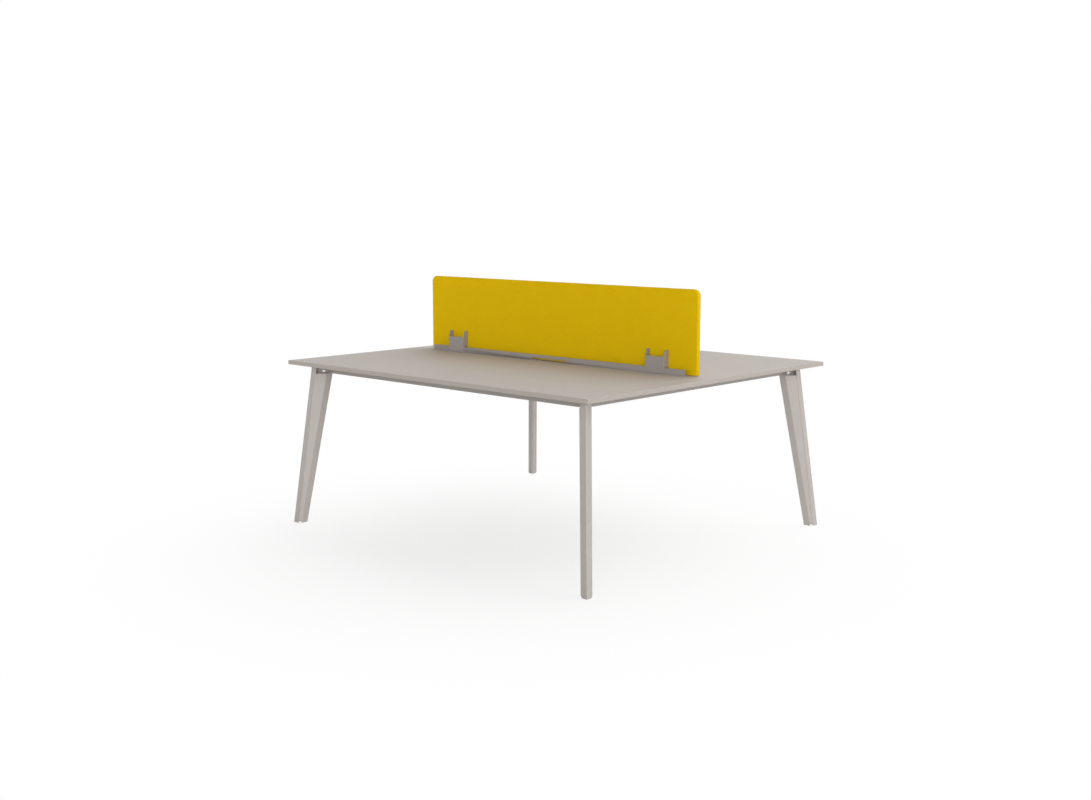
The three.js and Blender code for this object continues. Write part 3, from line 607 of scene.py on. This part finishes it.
# The trough takes the rail coat, whose darker grey is partly painted shade.
tray = rounded_copy("cable_tray", "cable_tray_trough", rail_coat, fold_edges(TRAY_SHORTEST, SHEET_FACE),
                    TRAY_FOLD, THIN_ARRIS)
stand_for(tray, "frame_paint", "cable_tray")

# Screen rails and clips: a low strip with a base flange along each side of the screen, notched
# for cables, and two folded clips that hook over the strip and are bolted to the screen.
CLIP_GREY = (0.276, 0.248, 0.231)
STRIP_FOLD = 1.8 * MM
STRIP_SHORTEST = 0.4
CLIP_FOLD = 0.9 * MM
CLIP_SHORTEST = 24 * MM
STRIP_SCREW = {**WOOD_SCREW, "Recess Width": 4.6}
clip_coat = powder_coat("clip_coat", CLIP_GREY)
strip_folds = fold_edges(STRIP_SHORTEST, SHEET_FACE)
clip_folds = fold_edges(CLIP_SHORTEST, SHEET_FACE)
for side in ("front", "rear"):
    rail = side + "_screen_rail"
    strip = rounded_copy(rail, rail + "_strip", clip_coat, strip_folds, STRIP_FOLD, SHEET_ARRIS)
    stand_for(strip, "screen_rail_paint", rail)
    for end in ("left", "right"):
        clip = f"{side}_{end}_clip"
        bent = rounded_copy(clip, clip + "_plate", clip_coat, clip_folds, CLIP_FOLD, SHEET_ARRIS)
        stand_for(bent, "screen_rail_paint", clip)
screws = [f"{side}_screen_rail_screw_{number}" for side in ("front", "rear") for number in (1, 2)]
driven = fasten("screen_rail_screws", screws, [(0, 0, -1)] * len(screws), STRIP_SCREW, zinc)
stand_for(driven, "bright_steel", *screws)

# Screen core: a fibreboard panel that stands on the base flanges of the two screen rails. Its
# cover is open below, so only its raw lower edge can be seen, up through the cable slots.
BOARD_BROWN = (0.44, 0.32, 0.18)


def fibreboard(name, colour):
    material, tap = new_finish(name)
    place = tap.node("ShaderNodeTexCoord", output="Object")
    fibre = noise(place, 900, 4)
    cloud = noise(place, 30, 3)
    tone = 0.5 + (fibre - 0.5) * 1.2 + (cloud - 0.5) * 0.4
    close_finish(tap, {
        "Base Color": mixed(tone, tint(colour, 0.8), tint(colour, 1.15)),
        "Roughness": 0.85 + (fibre - 0.5) * 0.2,
        "Normal": raised(fibre, 0.3, 0.2 * MM),
    })
    return material


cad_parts["screen_core"].data.materials[0] = fibreboard("fibreboard", BOARD_BROWN)

# Screen cover: yellow woven upholstery over a thin wadding, drawn over the core from both faces
# and sewn along the middle of its narrow edge. It is open below, where the hem is turned in.
YELLOW = (0.683, 0.447, 0.003)
YARN = 1.5 * MM
COVER_SOFTNESS = 4.5
COVER_WALL = 1.7 * MM
SEAM_SINK = 0.7
SEAM_HALF = 1.6
EDGE_PULL = 0.35
SOFT_STEPS = 6
CORNER_STEPS = 8
TOP_RADIUS, BOTTOM_RADIUS = 27.0, 6.0
LEAST_RADIUS = 0.6


def upholstery(name, colour):
    material, tap = new_finish(name)
    uv = tap.node("ShaderNodeSeparateXYZ", {}, {"Vector": tap.node("ShaderNodeTexCoord", output="UV")})
    warp, weft = uv / YARN, uv.also("Y") / YARN
    warp_yarn, weft_yarn = tap.math("FLOOR", warp), tap.math("FLOOR", weft)
    over = tap.math("PINGPONG", warp_yarn + weft_yarn, 1.0)
    warp_round = tap.math("ABSOLUTE", tap.math("SINE", warp * math.pi))
    weft_round = tap.math("ABSOLUTE", tap.math("SINE", weft * math.pi))
    weave = over * warp_round + (1 - over) * weft_round + warp_round * weft_round * 0.6
    place = tap.node("ShaderNodeTexCoord", output="Object")
    fibre = noise(place, 2600, 3)
    slub = noise(tap.node("ShaderNodeMapping", {}, {"Vector": place, "Scale": (60, 60, 600)}), 1.0, 2)
    cloud = noise(place, 11, 3)
    tone = 0.42 + (weave - 0.9) * 0.22 + (fibre - 0.5) * 0.7 + (slub - 0.5) * 0.5 + (cloud - 0.5) * 0.2
    close_finish(tap, {
        "Base Color": mixed(tone, tint(colour, 0.8), tint(colour, 1.2)),
        "Roughness": 0.92 + (fibre - 0.5) * 0.1,
        "Specular IOR Level": 0.04,
        "Normal": raised(weave + fibre * 0.5, 0.35, 0.35 * MM),
    })
    return material


def cover_outline(inset):
    """Points (x, z) and outward directions up the left side, over the top and down the right."""
    low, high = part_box("screen_cover")
    half, bottom, top = high.x / MM - inset, low.z / MM, high.z / MM - inset
    upper = max(TOP_RADIUS - inset, LEAST_RADIUS)
    lower = max(BOTTOM_RADIUS - inset, LEAST_RADIUS)
    corners = ((-half + lower, bottom + lower, lower, 270, 180),
               (-half + upper, top - upper, upper, 180, 90),
               (half - upper, top - upper, upper, 90, 0),
               (half - lower, bottom + lower, lower, 0, -90))
    points = []
    for x, z, radius, start, end in corners:
        for step in range(CORNER_STEPS + 1):
            angle = math.radians(start + (end - start) * step / CORNER_STEPS)
            out = (math.cos(angle), math.sin(angle))
            points.append((x + radius * out[0], z + radius * out[1], out))
    return points


def cover_profile(half_thickness):
    """(inset, distance from the middle plane) from the seam round the soft edge to the face."""
    soft = COVER_SOFTNESS
    steps = [(SEAM_SINK, 0.0), (SEAM_SINK * 0.35, SEAM_HALF * 0.4), (0.0, SEAM_HALF)]
    for step in range(SOFT_STEPS + 1):
        angle = math.radians(90 * step / SOFT_STEPS)
        depth = half_thickness - EDGE_PULL - soft + soft * math.sin(angle)
        steps.append((soft - soft * math.cos(angle), depth))
    return steps + [(soft * 2, half_thickness - EDGE_PULL * 0.5), (soft * 4, half_thickness)]


def screen_cover(name, finish):
    profile = cover_profile(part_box("screen_cover")[1].y / MM)
    shape = bmesh.new()
    sheet_uv = shape.verts.layers.float_vector.new("cloth")
    face_outline = cover_outline(profile[-1][0])
    run = [0.0]
    for (a, b), (c, d) in zip(profile[::-1], profile[-2::-1]):
        run.append(run[-1] + math.hypot(c - a, d - b))
    halves = []
    for side in (-1, 1):
        rows = []
        for (inset, depth), wrap in zip(profile, run[::-1]):
            row = []
            for (x, z, out), (face_x, face_z, _) in zip(cover_outline(inset), face_outline):
                vertex = shape.verts.new(Vector((x, side * depth, z)) * MM)
                vertex[sheet_uv] = Vector((face_x + out[0] * wrap, face_z + out[1] * wrap, 0)) * MM
                row.append(vertex)
            rows.append(row)
        halves.append(rows)
    for rows in halves:
        for near, far in zip(rows, rows[1:]):
            for i in range(len(near) - 1):
                shape.faces.new((near[i], near[i + 1], far[i + 1], far[i]))
        shape.faces.new(rows[-1])
    bmesh.ops.remove_doubles(shape, verts=shape.verts, dist=SAME_POINT)
    bmesh.ops.recalc_face_normals(shape, faces=shape.faces)
    uv = shape.loops.layers.uv.new("cloth")
    for face in shape.faces:
        for loop in face.loops:
            loop[uv].uv = loop.vert[sheet_uv].xy
    piece = placed(name, meshed(name, shape, finish))
    wall = piece.modifiers.new("cloth_wall", "SOLIDIFY")
    wall.thickness = COVER_WALL
    wall.offset = -1
    piece.modifiers.new("flat_faces", "WEIGHTED_NORMAL")
    return settled(piece)


yellow_cloth = upholstery("yellow_cloth", YELLOW)
cover = screen_cover("screen_cover_cloth", yellow_cloth)
stand_for(cover, "screen_fabric", "screen_cover")

# Stitches of the cover: a row of lockstitch on each side of the edge seam, in yellow twisted
# thread. Each stitch dips into the cloth at its ends and stands a little proud between them.
THREAD_YELLOW = (0.77, 0.515, 0.008)
SEAM_ROW = 3.2 * MM
STITCH = {"Stitch Length": 3.6, "Stitch Pitch": 4.8, "Thread Diameter": 0.6, "Bow": 0.55}
STITCH_SIDES, STITCH_PARTS = 6, 5
END_THINNING = 0.4
BOW_MIDDLE = 0.6


def twisted_thread(name, colour):
    material, tap = new_finish(name)
    place = tap.node("ShaderNodeTexCoord", output="Object")
    ply = noise(place, 1500, 2)
    dye = noise(place, 40, 2)
    tone = 0.5 + (ply - 0.5) * 0.9 + (dye - 0.5) * 0.4
    close_finish(tap, {
        "Base Color": mixed(tone, tint(colour, 0.82), tint(colour, 1.12)),
        "Roughness": 0.6 + (ply - 0.5) * 0.2,
        "Specular IOR Level": 0.2,
        "Normal": raised(ply, 0.4, 0.15 * MM),
    })
    return material


def stitch_tree():
    """Bowed lengths of thread, in millimetres, spaced along each path with their bow outwards."""
    tree, given = new_tree("stitches", STITCH)
    tap = Tap(tree)
    path = tap.node("GeometryNodeMeshToCurve", {}, {"Mesh": given["Geometry"]})
    points = tap.node("GeometryNodeCurveToPoints", {"mode": "LENGTH"}, {
        "Curve": path, "Length": given["Stitch Pitch"] * MM})
    bar = tap.node("GeometryNodeMeshCylinder", {}, {
        "Vertices": STITCH_SIDES, "Side Segments": STITCH_PARTS, "Radius": given["Thread Diameter"] / 2,
        "Depth": given["Stitch Length"]})
    xyz = tap.node("ShaderNodeSeparateXYZ", {}, {"Vector": tap.node("GeometryNodeInputPosition")})
    x, y, z = xyz, xyz.also("Y"), xyz.also("Z")
    reach = z / given["Stitch Length"] * 2
    dip = reach * reach
    slim = 1 - dip * END_THINNING
    stitch = moved(bar, x * slim + (BOW_MIDDLE - dip) * given["Bow"], y * slim, z)
    run = tap.node("FunctionNodeAlignRotationToVector", {"axis": "Z"}, {
        "Vector": points.also("Tangent")})
    out = tap.node("GeometryNodeInputNamedAttribute", {"data_type": "FLOAT_VECTOR"}, {"Name": "out"})
    aim = tap.node("FunctionNodeAlignRotationToVector", {"axis": "X", "pivot_axis": "Z"}, {
        "Rotation": run, "Vector": out})
    close_tree(points, stitch, aim, given["Finish"])
    return tree


def seam_rows(name):
    points, edges, outward = [], [], []
    for row in (-SEAM_ROW, SEAM_ROW):
        first = len(points)
        for x, z, out in cover_outline(0):
            points.append((x * MM, row, z * MM))
            outward += [out[0], 0, out[1]]
        edges += [(i, i + 1) for i in range(first, len(points) - 1)]
    rows = bpy.data.meshes.new(name)
    rows.from_pydata(points, edges, [])
    rows.attributes.new("out", "FLOAT_VECTOR", "POINT").data.foreach_set("vector", outward)
    return rows


thread = twisted_thread("yellow_thread", THREAD_YELLOW)
stitches = grown("screen_stitches", seam_rows("screen_stitches"), stitch_tree(),
                 {**STITCH, "Finish": thread})
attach(stitches, "desk")

# Screen bolts: button-head bolts through the front clips, the screen and the rear clips, where
# they run in nuts pressed into the tabs.
SCREEN_BOLT = {**LEG_BOLT, "Head Diameter": 9.0, "Head Height": 3.0, "Recess Width": 3.4,
               "Shank Diameter": 5.0, "Thread Pitch": 0.8, "Thread Depth": 0.35, "Tip": 0.6}
bolts = [f"screen_bolt_{number}" for number in (1, 2, 3, 4)]
screen_bolts = fasten("screen_bolts", bolts, [(0, 1, 0)] * len(bolts), SCREEN_BOLT, zinc)
stand_for(screen_bolts, "bright_steel", *bolts)

# Floor: a plain pale ground. Seen directly it is mostly white and keeps a faint share of the desk's real
# shadow, fading to pure white around it, so no horizon shows.
FLOOR_HALF = 30.0
FLOOR_WHITE = (0.86, 0.85, 0.835)
SHADOW_SHARE = 0.28
# SHADOW_MIDDLE centres a painted shade in front of the desk, where its shadow falls.
SHADOW_MIDDLE = (0.1, -0.4, 0.0)
SHADOW_REACH = 2.0


def seen_directly(tap):
    """1 on rays from the camera, from mirrors and through glass; 0 on rays that carry soft light."""
    ray = tap.node("ShaderNodeLightPath")
    seen = tap.math("MAXIMUM", ray.also("Is Camera Ray"), ray.also("Is Glossy Ray"))
    return tap.math("MAXIMUM", seen, ray.also("Is Transmission Ray"))


material, tap = new_finish("pale_floor")
place = tap.node("ShaderNodeTexCoord", output="Object")
# Painted shade: the fade greys the floor a little around SHADOW_MIDDLE, even where no real shadow falls.
away = tap.node("ShaderNodeVectorMath", {"operation": "DISTANCE"}, {0: place, 1: SHADOW_MIDDLE}, "Value")
fade = smooth(away, 0.0, SHADOW_REACH)
white_share = (1 - SHADOW_SHARE) + fade * SHADOW_SHARE
lit = tap.node("ShaderNodeBsdfDiffuse", {}, {"Color": tint(FLOOR_WHITE)})
glow = tap.node("ShaderNodeEmission", {}, {"Color": (1, 1, 1, 1), "Strength": 1.0})
ground = tap.node("ShaderNodeMixShader", {}, {0: seen_directly(tap) * white_share, 1: lit, 2: glow})
tap.node("ShaderNodeOutputMaterial", {}, {"Surface": ground})
mesh = bpy.data.meshes.new("floor")
corners = [(-FLOOR_HALF, -FLOOR_HALF, 0), (FLOOR_HALF, -FLOOR_HALF, 0), (FLOOR_HALF, FLOOR_HALF, 0),
           (-FLOOR_HALF, FLOOR_HALF, 0)]
mesh.from_pydata(corners, [], [(0, 1, 2, 3)])
mesh.materials.append(material)
floor = placed("floor", mesh)

# Light: a dim white surround and broad soft lamps all round, the strongest high behind the desk
# and low at its right end. Each lamp has a level, and in degrees an azimuth, a height and a spread.
SURROUND = 0.15
LAMPS = {
    "rear_lamp": (2.36, 81, 46, 80),
    "right_lamp": (1.4, 5, 4, 30),
    "corner_lamp": (0.75, -35, 25, 40),
    "front_lamp": (1.25, -55, 8, 30),
    "front_left_lamp": (0.55, -100, 8, 30),
    "left_lamp": (0.5, 178, 5, 30),
}
world = bpy.data.worlds.new("surround")
world.use_nodes = True
world.node_tree.nodes.clear()
tap = Tap(world.node_tree)
strength = SURROUND + seen_directly(tap) * (1 - SURROUND)
sky = tap.node("ShaderNodeBackground", {}, {"Color": (1, 1, 1, 1), "Strength": strength})
tap.node("ShaderNodeOutputWorld", {}, {"Surface": sky})
bpy.context.scene.world = world
for name, (level, azimuth, height, spread) in LAMPS.items():
    lamp = bpy.data.lights.new(name, "SUN")
    lamp.energy = level
    lamp.angle = math.radians(spread)
    tilt = math.radians(90 - height)
    placed(name, lamp).rotation_euler = (0, tilt, math.radians(azimuth))

# Camera: the photograph's viewing angle, from the right of the front side, a little higher than
# the screen. Its place, angles and lens were solved from the edges of the worktop.
CAMERA_PLACE = (4.0106, -4.3623, 1.4414)
CAMERA_AZIMUTH = math.radians(42.989)
CAMERA_ELEVATION = math.radians(8.344)
CAMERA_LENS = 43.74
CAMERA_SENSOR = 36.0
CAMERA_FAR = 100.0
camera = bpy.data.cameras.new("camera")
camera.lens = CAMERA_LENS
camera.sensor_width = CAMERA_SENSOR
camera.clip_end = CAMERA_FAR
viewpoint = placed("camera", camera)
viewpoint.location = CAMERA_PLACE
viewpoint.rotation_euler = (math.pi / 2 - CAMERA_ELEVATION, 0, CAMERA_AZIMUTH)
bpy.context.scene.camera = viewpoint
bpy.context.scene.view_settings.view_transform = "Standard"
